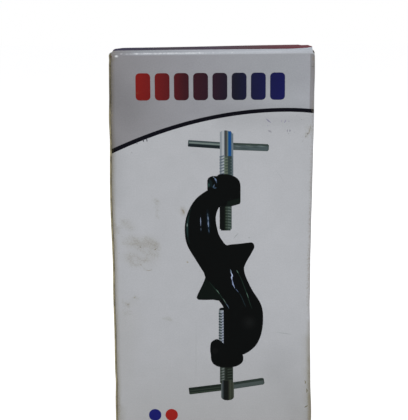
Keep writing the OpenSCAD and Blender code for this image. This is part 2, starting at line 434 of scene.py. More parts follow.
grimeAndPaintedLight = {
    # handling marks: from, to, half width, strength
    "marks": [
        ((-30.8, 87.6), (-27.6, 86.6), 1.6, 0.88), ((-28.2, 88.4), (-25.4, 85.6), 1.7, 0.92),
        ((-24.0, 88.6), (-20.2, 86.0), 1.8, 0.97), ((-30.8, 83.6), (-28.6, 82.4), 1.1, 0.92),
        ((-25.4, 81.0), (-20.4, 83.4), 1.3, 1.0), ((-30.0, 80.6), (-26.6, 78.4), 1.3, 0.95),
        ((-24.2, 77.7), (-21.8, 78.0), 0.7, 0.95), ((-31.2, 95.0), (-29.2, 92.8), 1.6, 0.86),
        ((-33.8, 93.0), (-33.8, 91.2), 0.9, 0.85), ((-21.0, 103.2), (-18.9, 102.4), 0.7, 0.9),
        ((-18.8, 101.6), (-19.6, 98.0), 1.0, 0.86), ((-20.0, 98.0), (-19.5, 96.0), 0.8, 0.9),
        ((-10.8, 99.3), (-10.0, 98.0), 0.7, 1.2), ((-28.4, 67.0), (-32.6, 63.8), 0.9, 0.92),
        ((-31.2, 64.6), (-30.4, 64.2), 1.0, 0.95), ((-31.8, 60.8), (-30.6, 61.0), 1.2, 0.88),
        ((-17.0, 59.6), (-15.6, 59.0), 0.9, 1.2), ((-26.6, 141.2), (-26.4, 140.6), 0.9, 0.9),
        ((34.6, 128.4), (33.2, 125.2), 0.9, 0.9), ((35.6, 44.0), (35.4, 2.0), 1.0, 0.95),
        ((-35.1, 150.0), (-35.1, 0.0), 0.9, 0.7), ((83.5, 140.0), (83.5, 2.0), 1.5, 0.6),
        ((155.2, 140.0), (155.2, 2.0), 1.5, 0.6), ((-34.6, 154.9), (-34.2, 153.4), 1.5, 1.0),
        ((52.0, 44.0), (70.0, 38.0), 6.0, 0.6), ((96.0, 96.0), (104.0, 84.0), 7.0, 0.65),
        ((130.0, 22.0), (150.0, 17.0), 9.0, 0.65), ((178.0, 76.0), (182.0, 62.0), 7.0, 0.6),
        ((170.0, 12.0), (186.0, 8.0), 6.0, 0.7), ((-20.0, 1.0), (20.0, 2.0), 4.0, 0.7),
    ],
    # thin even films: beside the upright folds they darken the board towards the fold, partly as dirt and
    # partly as painted shade, and round the worst marks they are dirt
    "films": [
        ((-35.2, 153.0), (-35.2, 0.0), 1.75, 0.92), ((-36.0, 74.0), (-36.0, 34.0), 7.0, 0.14),
        ((35.6, 118.0), (35.6, 60.0), 0.9, 0.25), ((35.7, 57.0), (35.7, 0.0), 1.4, 0.6),
        ((35.8, 52.0), (35.8, 0.0), 2.6, 1.0), ((35.8, 39.0), (35.8, 0.0), 2.9, 1.1),
        ((35.8, 29.0), (35.8, 0.0), 3.0, 1.35), ((31.0, 22.0), (35.0, 0.0), 14.0, 0.38),
        ((83.5, 150.0), (83.5, 0.0), 2.0, 0.5), ((155.2, 150.0), (155.2, 0.0), 2.0, 0.5),
        ((202.6, 154.0), (202.6, 0.0), 2.4, 0.8), ((-29.0, 87.0), (-22.0, 86.6), 4.6, 0.3),
        ((-30.0, 82.0), (-22.0, 81.0), 4.6, 0.24), ((-30.2, 94.0), (-29.6, 93.4), 3.4, 0.22),
        ((-32.0, 64.0), (-29.0, 65.0), 4.4, 0.16), ((-10.8, 99.2), (-10.0, 98.0), 1.4, 0.5),
        ((-35.4, 24.0), (-35.4, 0.0), 5.5, 0.72), ((-33.5, 58.0), (-33.5, 34.0), 12.0, 0.26),
    ],
    # the whole foot of the carton is a little darker, up to this height
    "footDarkening": 0.42,
    "footDarkeningTo": 62.0,
    # a mark is only looked for this close to it along the walls
    "nearby": 30,
    # a mark fades over this many half widths, and is gone at so many lengths of that fade
    "markFade": 1.4,
    "markEnd": 1.3,
    # single marks, with hard sides: points, width, ink
    "scratchesAndShadeLines": [
        ([(33.8, 35.4), (34.1, 34.6), (33.9, 34.0)], 0.5, "#85826F"),
        ([(34.4, 32.2), (34.6, 31.4), (34.4, 30.6)], 0.5, "#7F7C69"),
        ([(33.4, 24.9), (34.0, 25.3), (34.6, 25.6)], 0.5, "#787561"),
        ([(23.2, 53.9), (25.2, 53.5), (27.2, 53.2), (29.0, 53.0)], 0.17, "#8F9396"),
        ([(7.6, 88.8), (8.4, 89.8), (9.3, 90.7)], 0.24, "#8D9192"),
        ([(12.8, 89.1), (13.1, 89.0), (13.4, 89.0)], 0.28, "#8F9394"),
        ([(-9.4, 80.4), (-9.1, 80.2), (-8.7, 80.1)], 0.6, "#989383"),
        ([(-10.7, 99.4), (-10.3, 98.7), (-10.0, 98.0)], 0.5, "#A09B95"),
        ([(-30.9, 64.5), (-30.6, 64.4), (-30.4, 64.3)], 0.36, "#908B7E"),
        ([(-28.5, 67.3), (-28.3, 67.2), (-28.0, 67.0)], 0.3, "#98958A"),
        ([(-24.0, 77.3), (-22.9, 77.1), (-21.8, 77.4)], 0.22, "#949084"),
        ([(-21.0, 84.6), (-20.6, 84.9), (-20.2, 85.4)], 0.36, "#88847A"),
        ([(-26.2, 79.4), (-25.8, 79.2), (-25.4, 79.2)], 0.3, "#8F8B80"),
        ([(-26.2, 86.0), (-25.9, 85.8), (-25.6, 85.6)], 0.34, "#88847A"),
        ([(-33.8, 83.6), (-33.6, 83.5), (-33.4, 83.5)], 0.3, "#96938A"),
        ([(-28.5, 120.1), (-28.3, 119.9), (-28.1, 119.7)], 0.34, "#97999B"),
        # ink rubbed off another print
        ([(19.0, 131.6), (19.8, 130.9), (20.7, 130.2)], 0.5, "#8B899C"),
        ([(19.4, 129.3), (19.6, 129.2), (19.8, 129.0)], 0.36, "#A09FAE"),
        ([(24.4, 131.1), (24.4, 130.8), (24.4, 130.3)], 0.36, "#9E9CAC"),
        ([(26.1, 131.2), (25.8, 130.7), (25.4, 130.1)], 0.42, "#9896A8"),
        ([(27.0, 130.9), (27.1, 130.6), (27.0, 130.3)], 0.36, "#9A99A8"),
        ([(19.8, 127.5), (20.3, 127.2), (21.0, 126.8)], 0.8, "#96979D"),
        ([(26.6, 127.8), (26.5, 127.3), (26.6, 126.8)], 0.42, "#8C8D97"),
        ([(27.4, 127.8), (27.5, 127.3), (27.4, 126.9)], 0.4, "#81828D"),
        ([(26.8, 126.4), (27.0, 126.3), (27.2, 126.4)], 0.4, "#979A9E"),
        ([(28.9, 127.0), (29.0, 126.8), (29.1, 126.6)], 0.34, "#9DA0A6"),
        ([(31.3, 131.4), (31.5, 131.2), (31.6, 131.1)], 0.34, "#9D9EA2"),
        ([(29.7, 132.7), (29.8, 132.5), (29.9, 132.3)], 0.34, "#A09DA3"),
        ([(34.8, 128.8), (34.4, 127.2), (34.0, 126.0)], 0.4, "#989792"),
        ([(33.9, 126.5), (33.7, 126.2), (33.6, 125.9)], 0.5, "#85878F"),
        ([(33.3, 125.5), (33.1, 125.2), (33.0, 125.0)], 0.4, "#96969B"),
        ([(32.4, 124.2), (32.1, 123.6), (31.8, 123.1)], 0.28, "#A0A2A5"),
        ([(31.9, 125.2), (31.8, 125.0), (31.7, 124.8)], 0.34, "#A0A2A6"),
        # a soft crease in the foot of the front wall, painted as a thin line of shade, and a faint line below
        # the arch
        ([(-6.1, 58.0), (-6.2, 50.0), (-6.25, 42.0), (-6.3, 36.0)], 0.16, "#A3A6A9"),
        ([(22.2, 113.6), (24.2, 111.2), (25.4, 109.0)], 0.14, "#A0A4A8"),
        # splashes under the arch, and the shade in a dent in the right fold, painted as a dark line
        ([(-24.2, 124.6), (-24.2, 124.1), (-24.1, 123.6)], 0.42, "#3E3E48"),
        ([(-23.2, 125.0), (-23.0, 124.4), (-22.9, 123.6)], 0.36, "#33333D"),
        ([(-26.6, 123.6), (-26.5, 123.2), (-26.4, 122.9)], 0.36, "#6E6E76"),
        ([(34.5, 149.8), (35.2, 149.7), (35.9, 149.75)], 0.36, "#6B6D71"),
    ],
    # at the two ends of the top's front fold: on the right a painted shadow in the gap at the corner, on the
    # left a nick that shows the brown board
    "nickAndGapShade": [
        ([(35.2, 155.2), (35.5, 154.7), (35.6, 154.2)], 0.55, "#3C342C"),
        ([(-35.3, 154.6), (-35.1, 154.1), (-34.9, 153.5)], 0.5, "#7A625F"),
    ],
    # a painted highlight: white glint flecks along the front fold of the top, where it turns up to the light:
    # from, to, strength
    "foldGlints": [(-34.0, -28.0, 0.6), (-30.0, 0.0, 1.15), (-1.0, 14.0, 0.7), (14.0, 34.0, 0.4)],
    # how far up the blank from that fold's foot, and how far they spread to either side
    "glintRise": 1.0,
    "glintSpread": 0.6,
    # each stretch is weaker near its two ends, over this length
    "glintFade": 4,
    # a painted highlight at the left end of that fold: a shiny spot, drawn as lighter rings
    "glintSpotAt": (-33.25, 153.85),
    "glintSpotRings": [(0.85, "#989A9E"), (0.6, "#B6B8BB"), (0.38, "#DCDEE0")],
}


def gapToMark(s, v, start, end):
    a = Vector(start)
    along = Vector(end) - a
    share = min(max((Vector((s, v)) - a).dot(along) / along.length_squared, 0.0), 1.0)
    return (Vector((s, v)) - a - along * share).length


# Painted light and shade over the front, as a factor on the ink
def paintedShadingAt(s, v):
    tone = 1.0
    if abs(s) < artwork["paintedShadingWithin"]:
        for start, end, reach, change in artwork["tones"]:
            tone += change * smooth(1 - gapToMark(s, v, start, end) / reach)
    return tone


def dirtAt(s, v):
    dirt = 0.0
    for start, end, reach, strength in grimeAndPaintedLight["marks"]:
        if abs(s - (start[0] + end[0]) / 2) < grimeAndPaintedLight["nearby"]:
            gap = gapToMark(s, v, start, end) / (reach * grimeAndPaintedLight["markFade"])
            dirt = max(dirt, strength * smooth(grimeAndPaintedLight["markEnd"] - gap))
    return dirt


# Dirt films round the worst marks, painted shade beside the upright folds, and a darker foot
def dirtAndShadeAt(s, v):
    darkening = grimeAndPaintedLight["footDarkening"] * smooth(1 - v / grimeAndPaintedLight["footDarkeningTo"])
    for start, end, reach, strength in grimeAndPaintedLight["films"]:
        if abs(s - start[0]) < grimeAndPaintedLight["nearby"]:
            darkening = max(darkening, strength * smooth(1 - gapToMark(s, v, start, end) / reach))
    return darkening


# Painted highlight: how strongly the glint flecks are painted along the top's front fold
def foldGlintsAt(s, rise):
    # rise is measured up the blank from the foot of the top's front fold
    foldGlints = 0.0
    for start, end, strength in grimeAndPaintedLight["foldGlints"]:
        if start <= s < end:
            ends = smooth((s - start) / grimeAndPaintedLight["glintFade"]) * smooth((end - s) / grimeAndPaintedLight["glintFade"])
            near = smooth(1 - abs(rise - grimeAndPaintedLight["glintRise"]) / grimeAndPaintedLight["glintSpread"])
            foldGlints = strength * (0.6 + 0.4 * ends) * near
    return foldGlints


def foldSheet(sheet, plan, planOrigin, profileFor, wear, turned=False):
    # The plan bends the blank round the upright folds, and a profile over the level ones
    mesh = sheet.data
    blankMap = mesh.uv_layers.new(name="blank")
    for loop in mesh.loops:
        flat = mesh.vertices[loop.vertex_index].co
        blankMap.data[loop.index].uv = (flat.x, flat.y)
    for name in ("crease", "soiled", "glintFlecks", "dirtAndShade"):
        mesh.attributes.new(name, "FLOAT", "POINT")
    for vertex in mesh.vertices:
        s = vertex.co.x
        v = vertex.co.y
        profile, profileOrigin = profileFor(s, v)
        inward, up, lean = walkPath(profile, v - profileOrigin)
        px, py, heading = walkPath(plan, s - planOrigin)
        out = Vector((math.sin(heading), -math.cos(heading), 0))
        point = Vector((px, py, 0)) - out * inward + Vector((0, 0, up))
        normal = out * math.sin(lean) + Vector((0, 0, math.cos(lean)))
        if turned:
            point = Vector((point.x, -point.y, height - point.z))
            normal = Vector((normal.x, -normal.y, -normal.z))
        upright = wear["upright"] * smooth(1 - nearestFold(plan, s - planOrigin) / board["wearReach"])
        level = wear["level"] * smooth(1 - nearestFold(profile, v - profileOrigin) / board["wearReach"])
        found = {
            "crease": max(upright, level),
            "soiled": dirtAt(s, v),
            "dirtAndShade": dirtAndShadeAt(s, v) if wear["dirtAndShade"] else 0.0,
            "glintFlecks": foldGlintsAt(s, v - crownHeight),
        }
        for name, value in found.items():
            mesh.attributes[name].data[vertex.index].value = value
        vertex.co = settle(point, normal) * mm
    mesh.update()


def thickenSheet(sheet, materials):
    # Solidify keeps the printed faces first, then adds the back, then the cut edge
    faces = len(sheet.data.polygons)
    sheet.data.materials.clear()
    for material in materials:
        sheet.data.materials.append(material)
    selectOnly(sheet)
    bpy.ops.object.modifier_add(type="SOLIDIFY")
    solidify = sheet.modifiers[-1]
    solidify.thickness = board["thickness"] * mm
    solidify.offset = -1
    solidify.use_rim = True
    bpy.ops.object.modifier_apply(modifier=solidify.name)
    for face in sheet.data.polygons:
        face.material_index = 0 if face.index < faces else 1 if face.index < 2 * faces else 2
    bpy.ops.object.shade_smooth_by_angle(angle=math.radians(board["smoothAngle"]))
    print(sheet.name, "has", len(sheet.data.polygons), "faces")


# How each surface is made

def addNode(tree, kind, settings=None, links=None):
    node = tree.nodes.new("ShaderNode" + kind)
    for name, value in (settings or {}).items():
        if isinstance(name, int) or name in node.inputs:
            node.inputs[name].default_value = value
        else:
            setattr(node, name, value)
    for name, source in (links or {}).items():
        tree.links.new(source, node.inputs[name])
    return node


def newMaterial(name):
    material = bpy.data.materials.new(name)
    material.use_nodes = True
    material.node_tree.nodes.clear()
    return material, material.node_tree


# White-lined chipboard, offset printed under a thin water-based varnish: a close, even coat
# with a soft gloss, rubbed through to the brown board where it is folded
coat = {
    # cloudy ink, about 7 mm across
    "cloud": {"Scale": 1 / 7, "Detail": 5, "Roughness": 0.6},
    "cloudTones": {"From Min": 0.3, "From Max": 0.7, "To Min": 0.975, "To Max": 1.02},
    # fibres under the coat, drawn at 0.5 mm, several times coarser than real ones, so that they show
    "fibre": {"Scale": 2, "Detail": 3, "Roughness": 0.65},
    "fibreTones": {"From Min": 0.3, "From Max": 0.7, "To Min": 0.945, "To Max": 1.045},
    # the film tint darkens the board: as dirt round the marks, and beside the upright folds also as painted
    # shade
    "filmShare": 0.68,
    "filmInk": "#CBC3AD",
    # handling dirt sits in specks about half a millimetre across, in drifts of 4 mm
    "dirt": {
        "where": "soiled",
        "grain": {"Scale": 1.8, "Detail": 6, "Roughness": 0.75},
        "drift": {"Scale": 0.26, "Detail": 2},
        "driftShare": 0.35,
        "growth": (0.34, -0.86),
        "range": (0.26, 0.33),
        "ink": "#6E6640",
    },
    # along the upright folds the ink is rubbed away in flecks, in patches about 15 mm long
    "wear": {
        "where": "crease",
        "grain": {"Scale": 1.4, "Detail": 7, "Roughness": 0.75},
        "drift": {"Scale": 1 / 15, "Detail": 2},
        "driftShare": 0.55,
        "growth": (0.26, -1.04),
        "range": (0.14, 0.6),
        "ink": "#8A8272",
    },
    # painted highlight: the glints along the top's front fold, drawn as white flecks in the colour
    "foldGlints": {
        "where": "glintFlecks",
        "grain": {"Scale": 0.9, "Detail": 4, "Roughness": 0.6},
        "growth": (0.5, -0.78),
        "range": (0.35, 0.9),
        "ink": "#D3D6DA",
    },
    # the varnish is a little uneven, and dull where it is dirty
    "sheen": (-0.05, 0.07),
    "dirtDulls": 0.3,
    "grainDepth": 0.00004,
    "wearDepth": 0.0001,
}


def addSpots(tree, place, below, spots):
    # Spots of colour grow out of a noise pattern where the sheet's own attribute is strong: dirt, wear, and
    # the painted highlight's glints
    amount = addNode(tree, "Attribute", {"attribute_name": spots["where"]}).outputs["Fac"]
    pattern = addNode(tree, "TexNoise", spots["grain"], {"Vector": place}).outputs["Fac"]
    if "drift" in spots:
        drift = addNode(tree, "TexNoise", spots["drift"], {"Vector": place}).outputs["Fac"]
        share = {"operation": "MULTIPLY_ADD", 1: spots["driftShare"]}
        pattern = addNode(tree, "Math", share, {0: drift, 2: pattern}).outputs["Value"]
    gain, start = spots["growth"]
    over, most = spots["range"]
    growth = {"operation": "MULTIPLY_ADD", 1: gain, 2: start}
    reach = addNode(tree, "Math", growth, {0: amount}).outputs["Value"]
    total = addNode(tree, "Math", {"operation": "ADD"}, {0: reach, 1: pattern}).outputs["Value"]
    limits = {"From Min": 0.0, "From Max": over, "To Min": 0.0, "To Max": most}
    strength = addNode(tree, "MapRange", limits, {"Value": total}).outputs["Result"]
    ink = {"data_type": "RGBA", 7: hexColour(spots["ink"])}
    return strength, addNode(tree, "Mix", ink, {0: strength, 6: below}).outputs[2]


def makePrintedBoard(name, gloss):
    material, tree = newMaterial(name)
    place = addNode(tree, "UVMap", {"uv_map": "blank"}).outputs["UV"]
    ink = addNode(tree, "Attribute", {"attribute_name": "ink"}).outputs["Color"]
    dirtAndShade = addNode(tree, "Attribute", {"attribute_name": "dirtAndShade"}).outputs["Fac"]
    cloud = addNode(tree, "TexNoise", coat["cloud"], {"Vector": place}).outputs["Fac"]
    cloudTone = addNode(tree, "MapRange", coat["cloudTones"], {"Value": cloud}).outputs["Result"]
    fibre = addNode(tree, "TexNoise", coat["fibre"], {"Vector": place}).outputs["Fac"]
    fibreTone = addNode(tree, "MapRange", coat["fibreTones"], {"Value": fibre}).outputs["Result"]
    shade = addNode(tree, "Math", {"operation": "MULTIPLY"}, {0: cloudTone, 1: fibreTone}).outputs["Value"]
    shaded = addNode(tree, "VectorMath", {"operation": "SCALE"}, {"Vector": ink, "Scale": shade})
    film = addNode(tree, "Math", {"operation": "MULTIPLY", 1: coat["filmShare"]}, {0: dirtAndShade})
    filmLook = {"data_type": "RGBA", "blend_type": "MULTIPLY", 7: hexColour(coat["filmInk"])}
    filmed = addNode(tree, "Mix", filmLook, {0: film.outputs["Value"], 6: shaded.outputs["Vector"]})
    dirt, colour = addSpots(tree, place, filmed.outputs[2], coat["dirt"])
    wear, colour = addSpots(tree, place, colour, coat["wear"])
    # painted highlight: white glint flecks along the top's front fold
    colour = addSpots(tree, place, colour, coat["foldGlints"])[1]
    glossiest, dullest = [gloss["roughness"] + change for change in coat["sheen"]]
    sheenTones = {"From Min": 0.3, "From Max": 0.7, "To Min": glossiest, "To Max": dullest}
    sheen = addNode(tree, "MapRange", sheenTones, {"Value": cloud}).outputs["Result"]
    dulled = {"operation": "MULTIPLY_ADD", 1: coat["dirtDulls"]}
    dull = addNode(tree, "Math", dulled, {0: dirt, 2: sheen}).outputs["Value"]
    grainLook = {"Strength": 0.35, "Distance": coat["grainDepth"]}
    grain = addNode(tree, "Bump", grainLook, {"Height": fibre}).outputs["Normal"]
    wearLook = {"Strength": 0.5, "Distance": coat["wearDepth"], "invert": True}
    normal = addNode(tree, "Bump", wearLook, {"Height": wear, "Normal": grain}).outputs["Normal"]
    shader = addNode(
        tree,
        "BsdfPrincipled",
        {
            "IOR": 1.5, "Specular IOR Level": gloss["specular"],
            "Coat Weight": gloss["coat"], "Coat Roughness": 0.12,
        },
        {"Base Color": colour, "Roughness": dull, "Normal": normal},
    )
    addNode(tree, "OutputMaterial", {}, {"Surface": shader.outputs["BSDF"]})
    return material


# The uncoated back of recycled board: matt grey pulp with darker and lighter fibres.
# And the die-cut edge: layered grey-brown pulp, soiled by handling, darker in places
pulp = {
    "clouds": {"Scale": 1 / 6, "Detail": 6, "Roughness": 0.65},
    "fibre": {"Scale": 1.0, "Detail": 5, "Roughness": 0.7},
    "fibreStretch": (2.2, 0.5, 1),
    "backTones": (0.5, 1.0),
    "backInks": ("#7F7C73", "#A19D92"),
    # for each metre: marks about 3 mm long, and layers about 0.15 mm thick
    "marks": {"Scale": 330, "Detail": 6, "Roughness": 0.7},
    "layers": {"Scale": 6600, "Detail": 2},
    "edgeTones": (0.48, 0.82),
    "edgeInks": ("#6C6652", "#A39B7E"),
    # thumbs have blackened it between about 131 and 149 mm up
    "soilFrom": {"From Min": 0.131, "From Max": 0.138, "To Min": 0.0, "To Max": 0.62},
    "soilTo": {"From Min": 0.144, "From Max": 0.150, "To Min": 1.0, "To Max": 0.45},
    "soilInk": "#2B2521",
}


def tonedInks(tones, inks):
    # Settings that turn a run of tones into a run of colours
    settings = {"data_type": "FLOAT_VECTOR"}
    for i in range(2):
        settings[7 + i] = (tones[i],) * 3
        settings[9 + i] = hexColour(inks[i])[:3]
    return settings


def makeGreyBack():
    material, tree = newMaterial("uncoatedBoardBack")
    place = addNode(tree, "UVMap", {"uv_map": "blank"}).outputs["UV"]
    clouds = addNode(tree, "TexNoise", pulp["clouds"], {"Vector": place}).outputs["Fac"]
    stretched = addNode(tree, "Mapping", {"Scale": pulp["fibreStretch"]}, {"Vector": place}).outputs["Vector"]
    fibre = addNode(tree, "TexNoise", pulp["fibre"], {"Vector": stretched}).outputs["Fac"]
    tone = addNode(tree, "Math", {"operation": "MULTIPLY_ADD", 1: 0.5}, {0: fibre, 2: clouds})
    inks = tonedInks(pulp["backTones"], pulp["backInks"])
    colour = addNode(tree, "MapRange", inks, {6: tone.outputs["Value"]}).outputs["Vector"]
    bump = addNode(tree, "Bump", {"Strength": 0.5, "Distance": 0.00006}, {"Height": fibre})
    look = {"Roughness": 0.9, "Specular IOR Level": 0.2}
    shader = addNode(tree, "BsdfPrincipled", look, {"Base Color": colour, "Normal": bump.outputs["Normal"]})
    addNode(tree, "OutputMaterial", {}, {"Surface": shader.outputs["BSDF"]})
    return material


def makeCutEdge():
    material, tree = newMaterial("dieCutBoardEdge")
    place = addNode(tree, "TexCoord").outputs["Object"]
    marks = addNode(tree, "TexNoise", pulp["marks"], {"Vector": place}).outputs["Fac"]
    layers = addNode(tree, "TexNoise", pulp["layers"], {"Vector": place}).outputs["Fac"]
    share = {"operation": "MULTIPLY_ADD", 1: 0.3}
    tone = addNode(tree, "Math", share, {0: layers, 2: marks}).outputs["Value"]
    inks = tonedInks(pulp["edgeTones"], pulp["edgeInks"])
    colour = addNode(tree, "MapRange", inks, {6: tone}).outputs["Vector"]
    level = addNode(tree, "SeparateXYZ", {}, {"Vector": place}).outputs["Z"]
    sides = [
        addNode(tree, "MapRange", {"interpolation_type": "SMOOTHSTEP", **pulp[side]}, {"Value": level})
        for side in ("soilFrom", "soilTo")
    ]
    ends = {i: side.outputs["Result"] for i, side in enumerate(sides)}
    soil = addNode(tree, "Math", {"operation": "MULTIPLY"}, ends)
    soilLook = {"data_type": "RGBA", 7: hexColour(pulp["soilInk"])}
    soiled = addNode(tree, "Mix", soilLook, {0: soil.outputs["Value"], 6: colour}).outputs[2]
    bump = addNode(tree, "Bump", {"Strength": 0.6, "Distance": 0.0001}, {"Height": tone})
    look = {"Roughness": 0.92, "Specular IOR Level": 0.15}
    shader = addNode(tree, "BsdfPrincipled", look, {"Base Color": soiled, "Normal": bump.outputs["Normal"]})
    addNode(tree, "OutputMaterial", {}, {"Surface": shader.outputs["BSDF"]})
    return material


printedBoard = makePrintedBoard("varnishedPrintedBoard", {"roughness": 0.42, "specular": 0.01, "coat": 0.04})
lidBoard = makePrintedBoard("varnishedDarkPrint", {"roughness": 0.6, "specular": 0.0, "coat": 0.03})
greyBack = makeGreyBack()
cutEdge = makeCutEdge()
print("materials made")


# What is printed

artwork = {
    "white": "#AFB1B5",
    "line": "#0A0A12",
    "archPeakS": 26.0,
    "archPeakV": 134.68,
    "archLeft": 0.0038,
    "archRight": 0.0055,
    "archWidth": 1.38,
    "archSteps": 48,
    "fieldSteps": 24,
    # the grey field of each wall, from its left side to its right
    "greys": [
        (0.0, "#848386"), (0.21, "#8B8B8F"), (0.43, "#919297"), (0.66, "#97999E"), (0.9, "#999CA1"),
        (1.0, "#9B9DA3"),
    ],
    # painted light and shade: slow changes of tone over the front, some lighter and some darker, not looked
    # for beyond this: from, to, reach, change
    "paintedShadingWithin": 50,
    "tones": [
        ((-36.0, 141.0), (-29.0, 136.0), 12.0, -0.14), ((22.0, 138.0), (36.0, 138.0), 8.0, 0.1),
        ((4.0, 132.0), (36.0, 132.0), 6.5, -0.1), ((14.0, 104.0), (26.0, 72.0), 26.0, 0.05),
        ((24.0, 40.0), (36.0, 12.0), 12.0, -0.08), ((-36.5, 120.0), (-36.5, 106.0), 9.0, -0.14),
    ],
    # the next wall's print starts a little short of the fold
    "frontEdge": 34.3,
    # and the front wall's runs a little way onto the glue tab
    "bleed": 0.3,
    # a row of plain blocks, whose ink runs from red through near-black to navy
    "blocks": 8,
    "blockWidth": 5.2,
    "blockCorner": 1.4,
    "blockLow": 138.2,
    "blockHigh": 147.7,
    "blocksFrom": -26.7,
    "blocksTo": 25.6,
    "blockInks": ["#7C1E1B", "#38181E", "#191A28", "#17194C"],
    # plain dots near the foot: place, radius, ink
    "dots": [((-21.5, 22.4), 2.3, "#1C1F6B"), ((-15.4, 22.4), 2.3, "#9A2420")],
}


def archHeight(s):
    away = s - artwork["archPeakS"]
    bend = artwork["archLeft"] if away < 0 else artwork["archRight"]
    return artwork["archPeakV"] - bend * away * away


def shape(outline, ink, stamped=True):
    return {"outline": outline, "ink": ink, "stamped": stamped}


def drawArch(fromS, toS, offset):
    # The line stands taller where it slopes
    upper = []
    lower = []
    count = artwork["archSteps"]
    for i in range(count + 1):
        s = fromS + (toS - fromS) * i / count
        slope = 2 * artwork["archLeft"] * (s - artwork["archPeakS"])
        half = artwork["archWidth"] / 2 * (1 + slope ** 2)
        upper.append((s + offset, archHeight(s) + half))
        lower.append((s + offset, archHeight(s) - half))
    return shape(upper + lower[::-1], artwork["line"])


def drawField(fromS, toS, offset):
    # The grey field reaches from the arch up over the top's edge
    count = artwork["fieldSteps"]
    steps = [fromS + (toS - fromS) * i / count for i in range(count + 1)]
    lower = [(s + offset, archHeight(s)) for s in steps]
    top = height + 80
    outline = lower + [(toS + offset, top), (fromS + offset, top)]
    ink = [(fromS + offset + (toS - fromS) * share, grey) for share, grey in artwork["greys"]]
    return shape(outline, ink, stamped=False)


def drawBlocks(offset):
    width = artwork["blockWidth"]
    start = artwork["blocksFrom"] + offset
    reach = artwork["blocksTo"] - artwork["blocksFrom"]
    pitch = (reach - width) / (artwork["blocks"] - 1)
    stops = len(artwork["blockInks"]) - 1
    ink = [(start + reach * i / stops, code) for i, code in enumerate(artwork["blockInks"])]
    shapes = []
    for i in range(artwork["blocks"]):
        middle = start + width / 2 + pitch * i
        ends = (middle, artwork["blockLow"]), (middle, artwork["blockHigh"])
        shapes.append(shape(bar(*ends, width, artwork["blockCorner"]), ink))
    return shapes


# A painted highlight: the shiny spot at the left end of the top's front fold
def drawGlintSpot():
    return [shape(disc(grimeAndPaintedLight["glintSpotAt"], radius, 18, 0.62), ink) for radius, ink in grimeAndPaintedLight["glintSpotRings"]]


def drawLines(lines):
    return [shape(ribbon(points, width), ink) for points, width, ink in lines]


def drawBar(start, end, width, corner, shift, ink):
    return [shape(bar(start, end, width, corner, shift), ink)]


def drawStripes(low, high, stripes):
    # Each stripe is its left side, its right side and its ink, and may have a top of its own
    shapes = []
    for a, b, ink, *top in stripes:
        middle = (a + b) / 2
        shapes.append(shape(bar((middle, low), (middle, top[0] if top else high), b - a), ink))
    return shapes


def drawThreads(left, right, low, high, slope, thickness, ink):
    # Fine slanted lines across a printed screw thread
    pitch = clampPicture["threadPitch"]
    shapes = []
    for i in range(int((high - low) / pitch)):
        v = low + pitch * (i + 0.5)
        shapes.append(shape(bar((left, v - slope / 2), (right, v + slope / 2), pitch * thickness), ink))
    return shapes


def drawPatches(patches):
    return [shape(disc(centre, radius, 20), ink) for centre, radius, ink in patches]


def drawOutline(points, ink):
    return [shape(points, ink)]


def drawSoftOutline(points, ink):
    return [shape(softened(points), ink)]


